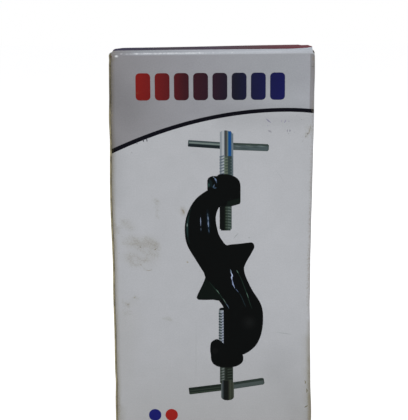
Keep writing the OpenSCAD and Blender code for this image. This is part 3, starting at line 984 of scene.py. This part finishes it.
enamel = "#060808"
clampPicture = {
    "threadPitch": 1.04,
    # from the back to the front: how it is drawn, and what with
    "layers": [
        # the upper T-bar, with glints
        (drawBar, (-8.5, 123.1), (3.0, 122.25), 2.38, 0.3, 0.0, "#3F4A4B"),
        (drawBar, (-8.2, 123.1), (3.0, 122.27), 0.5, 0.0, 0.3, "#6E7B78"),
        (drawBar, (-8.4, 123.1), (3.0, 122.25), 0.95, 0.0, -0.6, "#1B2326"),
        (drawBar, (6.0, 121.98), (20.05, 121.36), 2.55, 0.7, 0.0, "#37423F"),
        (drawBar, (6.0, 121.98), (19.8, 121.37), 1.65, 0.0, -0.33, "#475355"),
        (drawLines, [
            ([(7.8, 122.1), (9.0, 121.95), (10.2, 121.7)], 0.4, "#5B6868"),
            ([(9.6, 121.35), (11.3, 121.2), (13.0, 120.95)], 0.4, "#3A4646"),
            ([(11.8, 122.2), (13.2, 122.05), (14.6, 121.8)], 0.4, "#56625F"),
            ([(13.8, 121.7), (15.3, 121.55), (16.8, 121.3)], 0.4, "#3D4947"),
            ([(16.0, 122.05), (17.45, 121.9), (18.9, 121.65)], 0.4, "#5A6767"),
        ]),
        # the upper screw above its collar
        (drawStripes, 118.4, 127.5, [
            (2.75, 3.15, "#838B90", 127.1), (3.15, 3.5, "#8B9297", 127.3), (3.5, 4.25, "#A3A8AD", 127.5),
            (4.25, 4.55, "#525F62", 127.55), (4.55, 4.9, "#3B3D40", 127.6),
            (4.9, 5.25, "#474644", 127.55), (5.25, 5.6, "#5F6C67", 127.5), (5.6, 5.85, "#2F5A78", 127.45),
            (5.85, 6.7, "#1B4880", 127.3), (6.7, 7.05, "#536B7B", 126.9), (7.05, 7.5, "#6B7379", 126.5),
        ]),
        (drawStripes, 111.4, 118.5, [
            (2.65, 3.15, "#6B757A"), (3.15, 3.5, "#7E868C"), (3.5, 4.2, "#9AA2A6"),
            (4.2, 4.55, "#66726A"), (4.55, 5.6, "#434D45"), (5.6, 6.7, "#2F3C3D"), (6.7, 7.05, "#3D494A"),
            (7.05, 7.5, "#5D666D"),
        ]),
        (drawThreads, 2.6, 4.2, 111.6, 118.9, 0.5, 0.4, "#59636E"),
        (drawThreads, 4.2, 5.5, 111.9, 119.1, 0.2, 0.34, "#5C685A"),
        (drawThreads, 6.5, 7.45, 111.4, 118.6, -0.2, 0.34, "#4E5A5C"),
        # the same screw below the collar
        (drawStripes, 92.2, 101.5, [(2.58, 3.0, "#0C0F0E"), (6.5, 6.9, "#3A4542")]),
        (drawStripes, 91.7, 101.5, [
            (3.0, 4.4, "#0B0E0D"), (4.4, 4.8, "#182019"), (4.8, 5.2, "#253028"), (5.2, 5.6, "#2B3631"),
            (5.6, 6.5, "#333E3A"),
        ]),
        (drawThreads, 4.7, 5.7, 92.2, 101.2, -0.1, 0.35, "#3D4840"),
        (drawThreads, 5.6, 6.9, 92.1, 101.2, -0.25, 0.32, "#55625B"),
        # the eye beside the collar, the collar and its foot
        (drawOutline, [
            (-1.75, 105.8), (-1.75, 109.9), (-1.45, 110.6), (-0.8, 111.1), (0.1, 111.4), (1.9, 111.4),
            (1.9, 105.8),
        ], enamel),
        (drawOutline, [
            (1.8, 100.6), (1.8, 111.5), (2.3, 111.95), (3.6, 112.15), (5.4, 112.0), (6.9, 111.6),
            (7.9, 111.2), (8.9, 110.55), (9.6, 109.7), (9.95, 108.6), (10.05, 107.4), (10.05, 102.0),
            (9.75, 101.3), (6.9, 100.5),
        ], enamel),
        (drawOutline, [
            (5.4, 102.3), (9.8, 103.4), (10.0, 102.0), (9.7, 101.35), (6.9, 100.6), (5.0, 100.6),
        ], "#0E1612"),
        # the lower screw inside the jaw
        (drawStripes, 48.6, 62.5, [(2.15, 2.7, "#6E777B"), (2.7, 3.1, "#7C848A"), (3.1, 4.2, "#8F97A2")]),
        (drawThreads, 2.1, 3.3, 49.0, 62.4, -0.35, 0.45, "#2F393C"),
        (drawThreads, 3.2, 4.0, 49.2, 62.2, 0.2, 0.36, "#555D70"),
        (drawOutline, [(2.3, 62.3), (4.3, 62.2), (4.3, 63.3), (2.9, 63.2), (2.4, 62.9)], "#0B0F10"),
        # the body, and the facet under its jaw
        (drawSoftOutline, [
            (4.6, 106.5), (-1.5, 106.5), (-3.4, 105.3), (-5.5, 103.7), (-7.4, 101.3), (-8.8, 98.4),
            (-9.6, 95.8), (-10.0, 92.8), (-9.8, 88.8), (-9.1, 86.4), (-8.2, 84.5), (-5.2, 79.6),
            (-2.5, 75.1), (-3.2, 72.8), (-5.9, 67.4), (-5.7, 66.6), (-5.0, 66.1), (1.9, 66.2),
            (3.1, 64.7), (3.9, 63.2), (3.9, 62.6), (3.9, 50.2), (3.9, 49.7), (7.0, 45.0), (11.0, 45.4),
            (12.8, 46.3), (14.6, 47.7), (16.0, 49.3), (17.0, 51.3), (17.7, 53.5), (18.15, 56.3),
            (18.3, 59.2), (18.1, 62.2), (17.5, 64.4), (16.4, 66.4), (14.0, 70.1), (12.1, 74.3),
            (11.4, 76.4), (11.3, 78.7), (14.6, 84.4), (15.1, 85.7), (14.8, 86.8), (14.1, 87.3),
            (13.4, 87.3), (9.4, 86.8), (6.3, 86.6), (4.9, 86.2), (3.5, 88.0), (2.3, 90.0), (1.5, 93.0),
            (1.1, 95.9), (1.5, 98.4), (2.5, 100.4), (4.6, 101.6),
        ], enamel),
        (drawOutline, [
            (-2.6, 74.2), (-1.0, 72.4), (0.8, 70.2), (2.2, 68.6), (3.5, 66.3), (-4.9, 66.3), (-5.6, 67.3),
            (-3.1, 72.7),
        ], "#0A110E"),
        # the lower screw, its collar and its T-bar
        (drawStripes, 34.6, 41.5, [
            (2.5, 2.95, "#424B46"), (2.95, 3.35, "#4A534E"), (3.35, 4.05, "#616967"),
            (4.05, 4.4, "#38403B"), (4.4, 7.0, "#1C221D"), (7.0, 7.32, "#2B332D"),
        ]),
        (drawThreads, 2.6, 4.2, 34.8, 41.4, 0.4, 0.35, "#2A322E"),
        (drawThreads, 5.3, 7.2, 35.2, 41.0, 0.25, 0.28, "#353E37"),
        (drawSoftOutline, [
            (4.3, 49.4), (3.2, 50.3), (2.3, 51.1), (1.4, 51.5), (0.1, 50.9), (-0.8, 50.1), (-1.0, 48.6),
            (-1.1, 47.0), (-0.8, 45.5), (-0.8, 43.8), (-0.2, 42.2), (0.9, 41.3), (2.2, 40.8), (4.6, 40.5),
            (7.9, 40.7), (10.0, 41.7), (11.0, 42.9), (11.1, 44.4), (10.7, 46.0), (9.0, 50.0),
        ], enamel),
        (drawBar, (-8.9, 31.52), (4.2, 33.11), 2.62, 0.3, 0.0, "#1C2420"),
        (drawBar, (-8.6, 31.56), (4.2, 33.11), 0.36, 0.0, 0.1, "#2F3832"),
        (drawBar, (-8.6, 31.56), (4.2, 33.11), 0.55, 0.0, -0.85, "#303A31"),
        (drawBar, (6.4, 33.42), (18.75, 35.28), 2.62, 0.7, 0.0, "#2B3531"),
        (drawBar, (6.4, 33.42), (18.5, 35.25), 1.45, 0.0, -0.45, "#475150"),
        # the lower screw's rounded end
        (drawOutline, [
            (2.9, 35.0), (2.9, 29.2), (3.3, 28.5), (4.1, 28.0), (5.3, 27.85), (6.6, 28.05), (7.4, 28.6),
            (7.65, 29.3), (7.65, 34.2), (7.0, 35.6), (3.6, 35.8),
        ], "#343930"),
        (drawStripes, 28.9, 34.4, [(2.9, 3.3, "#525B5C")]),
        (drawStripes, 28.5, 35.6, [(3.3, 3.6, "#40474A")]),
        (drawStripes, 28.3, 35.6, [(3.6, 3.95, "#2A3033")]),
        (drawStripes, 28.0, 35.6, [(3.95, 5.45, "#121514"), (5.45, 5.8, "#22241F")]),
        (drawStripes, 28.1, 35.6, [(5.8, 6.15, "#333830")]),
        (drawStripes, 28.2, 35.6, [(6.15, 6.55, "#3C4238")]),
        (drawStripes, 29.3, 34.4, [(7.25, 7.65, "#454B42")]),
        # soft patches on the enamel, and lights, each drawn over the ones before it
        (drawPatches, [
            ((13.1, 57.5), 2.9, "#090B0B"), ((13.2, 57.5), 2.0, "#0D0F0F"),
            ((13.2, 57.6), 1.1, "#121414"), ((0.8, 46.9), 1.1, "#0D0E0E"),
        ]),
        (drawLines, [
            ([(-1.8, 99.4), (-1.6, 97.0), (-1.5, 94.0), (-1.2, 90.4)], 1.7, "#0A1014"),
            ([(-1.7, 98.2), (-1.55, 96.0), (-1.4, 93.4), (-1.25, 91.4)], 0.9, "#131F29"),
            ([(-1.75, 98.0), (-1.7, 97.4), (-1.6, 96.8)], 0.5, "#2E3C47"),
            ([(-1.6, 97.0), (-1.55, 96.2), (-1.5, 95.3)], 0.4, "#66758B"),
            ([(-1.5, 95.2), (-1.5, 94.2), (-1.4, 93.0)], 0.46, "#6E7E97"),
            ([(-1.4, 92.3), (-1.3, 91.7), (-1.2, 91.0)], 0.36, "#36475A"),
            ([(-4.2, 97.6), (-4.2, 94.6), (-4.1, 91.2)], 0.9, "#0B1014"),
            ([(-4.25, 96.5), (-4.2, 95.2), (-4.2, 93.5)], 0.3, "#808CA4"),
            ([(-4.15, 92.7), (-4.12, 92.2), (-4.1, 91.7)], 0.26, "#465160"),
            ([
                (-7.6, 100.2), (-8.5, 97.4), (-8.9, 94.6), (-9.0, 91.6), (-8.8, 88.8), (-8.2, 86.8),
            ], 1.0, "#0D1715"),
            ([(-8.6, 97.0), (-8.95, 94.4), (-9.05, 91.6), (-8.85, 89.4)], 0.5, "#1C2F2F"),
            ([(-9.0, 94.4), (-9.05, 93.7), (-9.05, 93.1)], 0.26, "#7E918C"),
            ([(6.3, 77.8), (6.9, 74.8), (7.4, 71.6), (8.7, 69.4)], 1.2, "#0B0F12"),
            ([(6.4, 77.4), (6.6, 76.6), (6.7, 75.8)], 0.5, "#5C6B78"),
            ([(6.6, 76.4), (7.1, 75.2), (6.8, 74.4), (7.0, 73.5)], 0.55, "#A2AECA"),
            ([(7.0, 73.6), (7.3, 72.0), (8.0, 70.4)], 0.46, "#8291B0"),
            ([(8.3, 70.2), (8.7, 69.7), (9.3, 68.9)], 0.3, "#45536A"),
            ([(9.6, 68.6), (10.4, 67.2), (11.3, 65.0), (12.0, 63.4)], 0.28, "#1C2A2E"),
            ([
                (8.6, 77.2), (10.3, 73.9), (11.7, 70.1), (12.7, 67.2), (13.6, 64.4), (14.3, 62.6),
            ], 0.3, "#1A2B24"),
            ([(8.6, 77.1), (8.9, 76.6), (9.3, 75.9)], 0.34, "#465F53"),
            ([(12.2, 68.8), (12.6, 67.8), (12.9, 66.8)], 0.24, "#4E675B"),
            ([(-1.3, 72.9), (0.8, 70.3), (2.2, 68.7), (3.7, 66.4), (5.9, 62.8)], 0.3, "#1A2B24"),
            ([(1.2, 70.0), (1.8, 69.3), (2.4, 68.4)], 0.28, "#556F61"),
            ([(3.6, 66.7), (4.2, 65.8), (4.8, 64.8)], 0.26, "#55665F"),
            ([(4.7, 64.9), (5.3, 64.0), (5.9, 62.9)], 0.26, "#4C5A6A"),
            ([(-1.0, 110.4), (-0.7, 109.0), (-0.2, 107.4)], 1.5, "#0F1A1C"),
            ([(-1.3, 108.9), (-1.2, 108.2), (-1.2, 107.4)], 0.5, "#2C4540"),
            ([(0.3, 111.1), (0.5, 111.0), (0.7, 110.9)], 0.3, "#8A959F"),
            ([(0.8, 110.7), (1.2, 110.2), (1.5, 109.4)], 0.55, "#6B7C99"),
            ([(1.4, 109.6), (1.5, 109.2), (1.6, 108.8)], 0.3, "#3C4C60"),
            ([(0.2, 107.3), (0.5, 107.7), (0.8, 108.4)], 0.5, "#455669"),
            ([(0.3, 107.2), (0.9, 107.1), (1.5, 107.2)], 0.42, "#3A4E62"),
        ]),
    ],
}


def drawClamp(offset):
    # A plain laboratory clamp in flat shapes: steel screws, black enamelled body
    shapes = []
    for drawer, *how in clampPicture["layers"]:
        shapes += drawer(*how)
    for each in shapes:
        each["outline"] = [(x + offset, y) for x, y in each["outline"]]
    return shapes


# The sleeve runs from the glue tab over the front, right, back and left wall, with the dust flaps

sleeve = {
    "tabFlat": 11.1,
    # the tab's ends slope over this height
    "tabTaper": 4.0,
    # the left wall stops this short of the front's face
    "lapShort": 0.3,
    # small reliefs where the front and the left wall end at a fold
    "relief": 0.5,
    "reliefDrop": 0.2,
    "earDrop": 0.35,
    "wear": {"upright": 1.0, "level": 0.7, "dirtAndShade": True},
}
tabFlat = sleeve["tabFlat"]
sideFlat = 2 * flatDepth
leftWall = sideFlat + board["foldRadius"] - sleeve["lapShort"]
sleevePlan = layPath(
    (board["seamFrom"] - board["seamRadius"], -halfDepth + board["seamRadius"] + tabFlat),
    math.radians(270),
    [
        (tabFlat, 0), (seamLength, 90), (flatWidth - board["seamFrom"], 0), (foldLength, 90),
        (sideFlat, 0), (foldLength, 90), (2 * flatWidth, 0), (foldLength, 90), (leftWall, 0),
    ],
)
sleeveOrigin = board["seamFrom"] - seamLength - tabFlat
frontEnd = flatWidth
rightStart = frontEnd + foldLength
rightEnd = rightStart + sideFlat
backStart = rightEnd + foldLength
backEnd = backStart + 2 * flatWidth
leftStart = backEnd + foldLength
leftEnd = leftStart + leftWall

dustFlap = {
    "length": 28.0,
    "hingeY": 22.4,
    "tuckY": 20.6,
    "taper": 10.0,
    "shoulder": 7.0,
    "step": 4.0,
    "corner": 5.0,
    "foldHeight": 154.35,
}
sidePlan = layPath(
    (board["foldRadius"] + dustFlap["length"], height - dustFlap["foldHeight"] - board["foldRadius"]),
    math.radians(180),
    [
        (dustFlap["length"], 0), (foldLength, -90), (2 * dustFlap["foldHeight"] - height, 0),
        (foldLength, -90), (dustFlap["length"], 0),
    ],
)
sideOrigin = height - dustFlap["foldHeight"] - foldLength - dustFlap["length"]
uprightPlan = layPath((0, 0), math.radians(90), [(height, 0)])


def sleeveProfile(s, v):
    onSide = rightStart <= s <= rightEnd or s >= leftStart
    return (sidePlan, sideOrigin) if onSide else (uprightPlan, 0.0)


def dustOutline(sAt, upward):
    # From the hinge side to the tuck side; sAt turns a distance towards the tuck side into s
    root = dustFlap["foldHeight"] + foldLength
    far = root + dustFlap["length"]
    hinge = -dustFlap["hingeY"]
    tuck = dustFlap["tuckY"]
    step = tuck - dustFlap["step"]
    slant = dustFlap["length"] * math.tan(math.radians(dustFlap["taper"]))
    corner = roundCorner((step, far), (hinge + slant, far), (step, root), dustFlap["corner"])
    points = [(hinge, crownHeight), (hinge, root), (hinge + slant, far)] + corner
    points += [(step, root + dustFlap["shoulder"] + dustFlap["step"]), (tuck, root + dustFlap["shoulder"])]
    points += [(tuck, dustFlap["foldHeight"])]
    return [(sAt(y), v if upward else height - v) for y, v in points]


def rightAt(y):
    return rightStart + y + flatDepth


def leftAt(y):
    return leftStart + flatDepth - y


slitTop = dustFlap["foldHeight"]
slitLow = height - slitTop
wallTop = height - board["edgeInset"]
tabEdge = board["seamFrom"] - seamLength
frontStart = board["frontStart"]
relief = sleeve["relief"]
earTop = slitTop + foldLength
sleeveOutline = [
    (sleeveOrigin, crownHeight - sleeve["tabTaper"]), (tabEdge, crownHeight),
    (rightStart - relief, crownHeight), (rightStart, crownHeight - sleeve["reliefDrop"]),
]
sleeveOutline += dustOutline(rightAt, True)
sleeveOutline += [(backStart, slitTop), (backStart, wallTop), (backEnd, wallTop), (backEnd, slitTop)]
# the left wall's free end carries on round the fold, as a rounded corner
sleeveOutline += dustOutline(leftAt, True)[:0:-1]
sleeveOutline += [(leftEnd - relief, earTop), (leftEnd, earTop - sleeve["earDrop"]), (leftEnd, slitLow)]
sleeveOutline += dustOutline(lambda y: leftAt(-y), False)[::-1]
sleeveOutline += dustOutline(lambda y: rightAt(-y), False)
sleeveOutline += [
    (frontEnd, slitLow), (frontEnd, board["edgeInset"]), (frontStart, board["edgeInset"]),
    (frontStart, slitLow), (tabEdge, slitLow), (tabEdge, board["cornerDrop"]),
    (sleeveOrigin, board["cornerDrop"] + sleeve["tabTaper"]),
]

# The same print goes round twice. It runs a little past the ends of the sheet.
repeat = backStart + flatWidth
printStart = tabEdge - artwork["bleed"]
printEnd = rightEnd + foldLength / 2
everywhere = [(-400, -400), (400, -400), (400, 400), (-400, 400)]
sleevePrint = [
    shape(everywhere, artwork["white"], stamped=False),
    drawField(printStart, artwork["frontEdge"], 0),
    drawField(artwork["frontEdge"], printEnd, 0),
    drawField(tabEdge, artwork["frontEdge"], repeat),
    drawField(artwork["frontEdge"], leftEnd - repeat + 1, repeat),
    drawArch(printStart, printEnd, 0),
    drawArch(printStart, leftEnd - repeat + 2, repeat),
]
for offset in (0, repeat):
    sleevePrint += drawBlocks(offset)
    sleevePrint += [shape(disc((s + offset, v), r, 32), ink) for (s, v), r, ink in artwork["dots"]]
    sleevePrint += drawClamp(offset)
sleevePrint += drawGlintSpot() + drawLines(grimeAndPaintedLight["scratchesAndShadeLines"])

sleeveLines = {
    "s": foldLines(sleevePlan, sleeveOrigin) + [artwork["frontEdge"], artwork["frontEdge"] + repeat],
    "v": foldLines(sidePlan, sideOrigin),
}
low = (sleeveOrigin - 1, sideOrigin - 1)
high = (leftEnd + 1, height - sideOrigin + 1)
cartonSleeve = cutSheet("cartonSleeve", low, high, sleeveLines, sleeveOutline, sleevePrint)
foldSheet(cartonSleeve, sleevePlan, sleeveOrigin, sleeveProfile, sleeve["wear"])
thickenSheet(cartonSleeve, [printedBoard, greyBack, cutEdge])
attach(cartonSleeve, "carton")
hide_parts("carton_sleeve")
print("sleeve folded")


# The two tuck flaps

lid = {
    "halfWidth": 34.4,
    "tongueFoldY": 22.2,
    "tongueTurn": 100.71,
    "tongueLength": 14.0,
    "tongueHalf": 33.65,
    "tongueCorner": 8.0,
    "foldHalf": 28.4,
    # the slits at the tongue's fold: how wide they open, and how far they run past it
    "slit": 0.1,
    "slitPast": 0.9,
    "slitCorner": 0.5,
    "shoulder": 0.5,
    # the side runs straight from this far past the hinge's round
    "sideFrom": 4.0,
    # the tongue's print ends this far past its fold
    "printPast": 2.0,
    # the grey field of the wall to the right ends here
    "sideFieldTo": 84.0,
    # how far up the hinge's round the grey ink reaches: place along s, share
    "greyWrap": [
        (-40.0, 0.74), (-33.0, 0.71), (-25.0, 0.675), (-12.0, 0.68), (-4.0, 0.63), (4.0, 0.595),
        (11.0, 0.6), (19.0, 0.545), (22.0, 0.515), (25.0, 0.495), (28.0, 0.49), (31.0, 0.525),
        (33.4, 0.56), (35.0, 0.7), (40.0, 0.76),
    ],
    "wear": {"upright": 0.5, "level": 0.0, "dirtAndShade": False},
    # how the foot tapers from the wall's corner to the flap's side: place along s, rise
    "foldFoot": [
        (36.0, 0.0), (35.85, 0.5), (35.5, 1.0), (35.22, 1.5), (35.08, 2.0), (35.08, 2.9), (34.95, 4.0),
    ],
    "seamFoot": [(35.3, 0.0), (35.3, 0.9), (35.18, 1.35), (35.0, 1.75), (34.75, 2.15), (34.45, 2.7)],
    # painted light: the grey ink is painted lighter over the hinge's round, as if that round caught the
    # light, from a little below its foot
    "foldLightDrop": 0.42,
    # rise above that line and the ink from there on
    "foldLightBands": [
        (-0.28, [(-33.0, "#858487"), (-25.0, "#8C8C90"), (2.0, "#999BA0"), (33.0, "#A2A5AA")]),
        (0.0, [
            (-33.0, "#858487"), (-25.0, "#989BA2"), (2.0, "#AEB2B9"), (22.0, "#B5B9C0"), (33.0, "#AEB2B9"),
        ]),
        (0.95, [
            (-33.0, "#7F7E81"), (-25.0, "#8E9197"), (-2.0, "#A0A3AA"), (12.0, "#A7ABB2"), (33.0, "#A8AEB6"),
        ]),
    ],
    # the ink of the flap's face, from the left side to the right
    "inks": [
        (-33.0, "#353147"), (-24.0, "#383443"), (-15.0, "#3D363F"), (0.0, "#443947"), (14.0, "#503A40"),
        (21.0, "#57353C"), (28.0, "#613A40"), (34.0, "#683D44"),
    ],
}
hingeLength = board["hingeRadius"] * math.pi / 2
panelLength = lid["tongueFoldY"] + halfDepth - board["hingeRadius"]
tongueFoldLength = board["foldRadius"] * math.radians(lid["tongueTurn"])
straightCrown = board["cornerDrop"] - board["hingeRadius"]
lidProfilePath = layPath(
    (0, crownHeight),
    math.radians(90),
    [
        (straightCrown, 0), (hingeLength, -90), (panelLength, 0),
        (tongueFoldLength, -lid["tongueTurn"]), (lid["tongueLength"], 0),
    ],
)
earProfilePath = lidProfilePath[:3]
faceStart = crownHeight + straightCrown + hingeLength
foldStart = faceStart + panelLength
lidEnd = foldStart + tongueFoldLength + lid["tongueLength"]


def lidProfile(s, v):
    isEar = abs(s) > lid["foldHalf"] + lid["slit"] / 2 and v < foldStart + 1.5
    return (earProfilePath if isEar else lidProfilePath), crownHeight


def lidPlan(leftFlat, leftRadius):
    # The flap's foot follows the wall round into its two upright folds
    start = (leftFlat - leftRadius, -halfDepth + leftRadius)
    turns = [(leftRadius * math.pi / 2, 90), (flatWidth - leftFlat, 0), (foldLength, 90)]
    return layPath(start, math.radians(270), turns)


def halfLid(foot, side):
    # One side of the flap's outline, from the foot to the free edge
    edge = lid["halfWidth"]
    tongue = lid["tongueHalf"]
    fold = lid["foldHalf"]
    slit = fold + lid["slit"]
    past = foldStart + lid["slitPast"]
    shoulder = foldStart + tongueFoldLength + lid["shoulder"]
    points = [(x, crownHeight + rise) for x, rise in foot]
    points += [(edge, faceStart + lid["sideFrom"])]
    points += roundCorner((edge, past), (edge, foldStart), (fold, past), lid["slitCorner"], 3)
    points += [(slit, past), (slit, foldStart), (fold, foldStart), (fold, shoulder), (tongue, shoulder)]
    points += roundCorner((tongue, lidEnd), (tongue, shoulder), (0, lidEnd), lid["tongueCorner"])
    return [(side * x, y) for x, y in points]


def makeLid(name, leftFlat, leftRadius, leftFoot, shapes, coating, turned=False):
    plan = lidPlan(leftFlat, leftRadius)
    origin = leftFlat - leftRadius * math.pi / 2
    outline = halfLid(leftFoot, -1)[::-1] + halfLid(lid["foldFoot"], 1)
    across = [foldLightLine + rise for rise, ink in lid["foldLightBands"]] + [tongueStart]
    lines = {
        "s": foldLines(plan, origin) + [artwork["frontEdge"]],
        "v": foldLines(lidProfilePath, crownHeight) + across,
    }
    low = (-halfWidth - 2, crownHeight - 1)
    high = (halfWidth + 2, lidEnd + 1)
    flap = cutSheet(name, low, high, lines, outline, shapes)
    foldSheet(flap, plan, origin, lidProfile, lid["wear"], turned)
    thickenSheet(flap, [coating, greyBack, cutEdge])
    return flap


wrapLine = [(s, crownHeight + straightCrown + hingeLength * share) for s, share in lid["greyWrap"]]
foldLightLine = crownHeight + straightCrown - lid["foldLightDrop"]
tongueStart = foldStart + tongueFoldLength + lid["printPast"]
lidPrint = [
    shape(everywhere, artwork["white"], stamped=False),
    drawField(printStart, artwork["frontEdge"], 0),
    drawField(artwork["frontEdge"], lid["sideFieldTo"], 0),
]
# painted light: each band lays a lighter grey over the hinge's round
for rise, ink in lid["foldLightBands"]:
    low = foldLightLine + rise
    band = [(-60, low), (60, low), (60, tongueStart), (-60, tongueStart)]
    lidPrint.append(shape(band, ink, stamped=False))
lidPrint += [
    shape(wrapLine + [(40, tongueStart), (-40, tongueStart)], lid["inks"]),
    shape([(-60, tongueStart), (60, tongueStart), (60, 300), (-60, 300)], artwork["white"], stamped=False),
]
lidPrint += drawGlintSpot() + drawLines(grimeAndPaintedLight["nickAndGapShade"])
topLid = makeLid("topLid", board["seamFrom"], board["seamRadius"], lid["seamFoot"], lidPrint, lidBoard)
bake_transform(topLid)
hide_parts("top_tuck_flap")

plainPrint = [shape(everywhere, artwork["white"], stamped=False)]
bottomLid = makeLid(
    "bottomLid", -flatWidth, board["foldRadius"], lid["foldFoot"], plainPrint, printedBoard, turned=True
)
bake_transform(bottomLid)
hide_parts("bottom_tuck_flap")
print("flaps folded")


# Floor, light and camera

studio = {
    "floorSize": 30.0,
    "floorDrop": 0.0002,
    "floor": "#D9D9DA",
    "floorGlow": 0.58,
    "sky": 0.6,
    # what the lamps are aimed at, as a share of the height
    "aim": 0.6,
    # place, size and watts
    "lamps": [((-0.25, -1.1, 0.75), 0.9, 5.6), ((0.1, -0.5, 1.2), 0.7, 3.2), ((0.5, 0.9, 0.8), 0.9, 3.0)],
}


def seenAsWhite(tree):
    # 1 for a ray that comes from the camera or through a glossy or clear surface
    path = addNode(tree, "LightPath").outputs
    seen = path["Is Camera Ray"]
    for kind in ("Is Glossy Ray", "Is Transmission Ray"):
        seen = addNode(tree, "Math", {"operation": "MAXIMUM"}, {0: seen, 1: path[kind]}).outputs["Value"]
    return seen


bpy.ops.object.select_all(action="DESELECT")
bpy.ops.mesh.primitive_plane_add(size=studio["floorSize"], location=(0, 0, 0))
floor = bpy.context.object
floor.name = "studioFloor"
floor.data.transform(Matrix.Translation((0, 0, cadLow.z - studio["floorDrop"])))
# Matt studio paper, which the camera and glossy surfaces see as white, with its shadows
paper, tree = newMaterial("studioPaper")
glow = addNode(tree, "Math", {"operation": "MULTIPLY", 1: studio["floorGlow"]}, {0: seenAsWhite(tree)})
paperLook = {"Base Color": hexColour(studio["floor"]), "Roughness": 1.0, "Specular IOR Level": 0.0}
paperLook["Emission Color"] = (1, 1, 1, 1)
paperShader = addNode(tree, "BsdfPrincipled", paperLook, {"Emission Strength": glow.outputs["Value"]})
addNode(tree, "OutputMaterial", {}, {"Surface": paperShader.outputs["BSDF"]})
floor.data.materials.append(paper)

world = bpy.data.worlds.new("studioRoom")
world.use_nodes = True
room = world.node_tree
room.nodes.clear()
dim, white = [
    addNode(room, "Background", {"Color": (1, 1, 1, 1), "Strength": level}).outputs["Background"]
    for level in (studio["sky"], 1.0)
]
mixed = addNode(room, "MixShader", {}, {0: seenAsWhite(room), 1: dim, 2: white})
addNode(room, "OutputWorld", {}, {"Surface": mixed.outputs["Shader"]})
bpy.context.scene.world = world

target = Vector((0, -halfDepth, height * studio["aim"])) * mm
for place, span, watts in studio["lamps"]:
    bpy.ops.object.light_add(type="AREA", location=place)
    lamp = bpy.context.object
    lamp.data.size = span
    lamp.data.energy = watts
    lamp.rotation_euler = (target - Vector(place)).to_track_quat("-Z", "Y").to_euler()

view = {
    "place": (-2.99, -383.33, 161.35),
    "pitchDown": 9.821,
    "roll": -0.351,
    "lens": 58.3657,
    "sensor": 24,
}
bpy.ops.object.camera_add(location=Vector(view["place"]) * mm)
camera = bpy.context.object
pitch = math.radians(view["pitchDown"])
roll = math.radians(view["roll"])
forward = Vector((0, math.cos(pitch), -math.sin(pitch)))
right = Vector((1, 0, 0))
up = right.cross(forward)
rolledRight = right * math.cos(roll) + up * math.sin(roll)
rolledUp = up * math.cos(roll) - right * math.sin(roll)
camera.rotation_euler = Matrix((rolledRight, rolledUp, -forward)).transposed().to_euler()
camera.data.sensor_fit = "VERTICAL"
camera.data.sensor_height = view["sensor"]
camera.data.lens = view["lens"]
camera.data.clip_start = 0.01
bpy.context.scene.camera = camera
bpy.context.scene.view_settings.view_transform = "Standard"
print("studio ready")
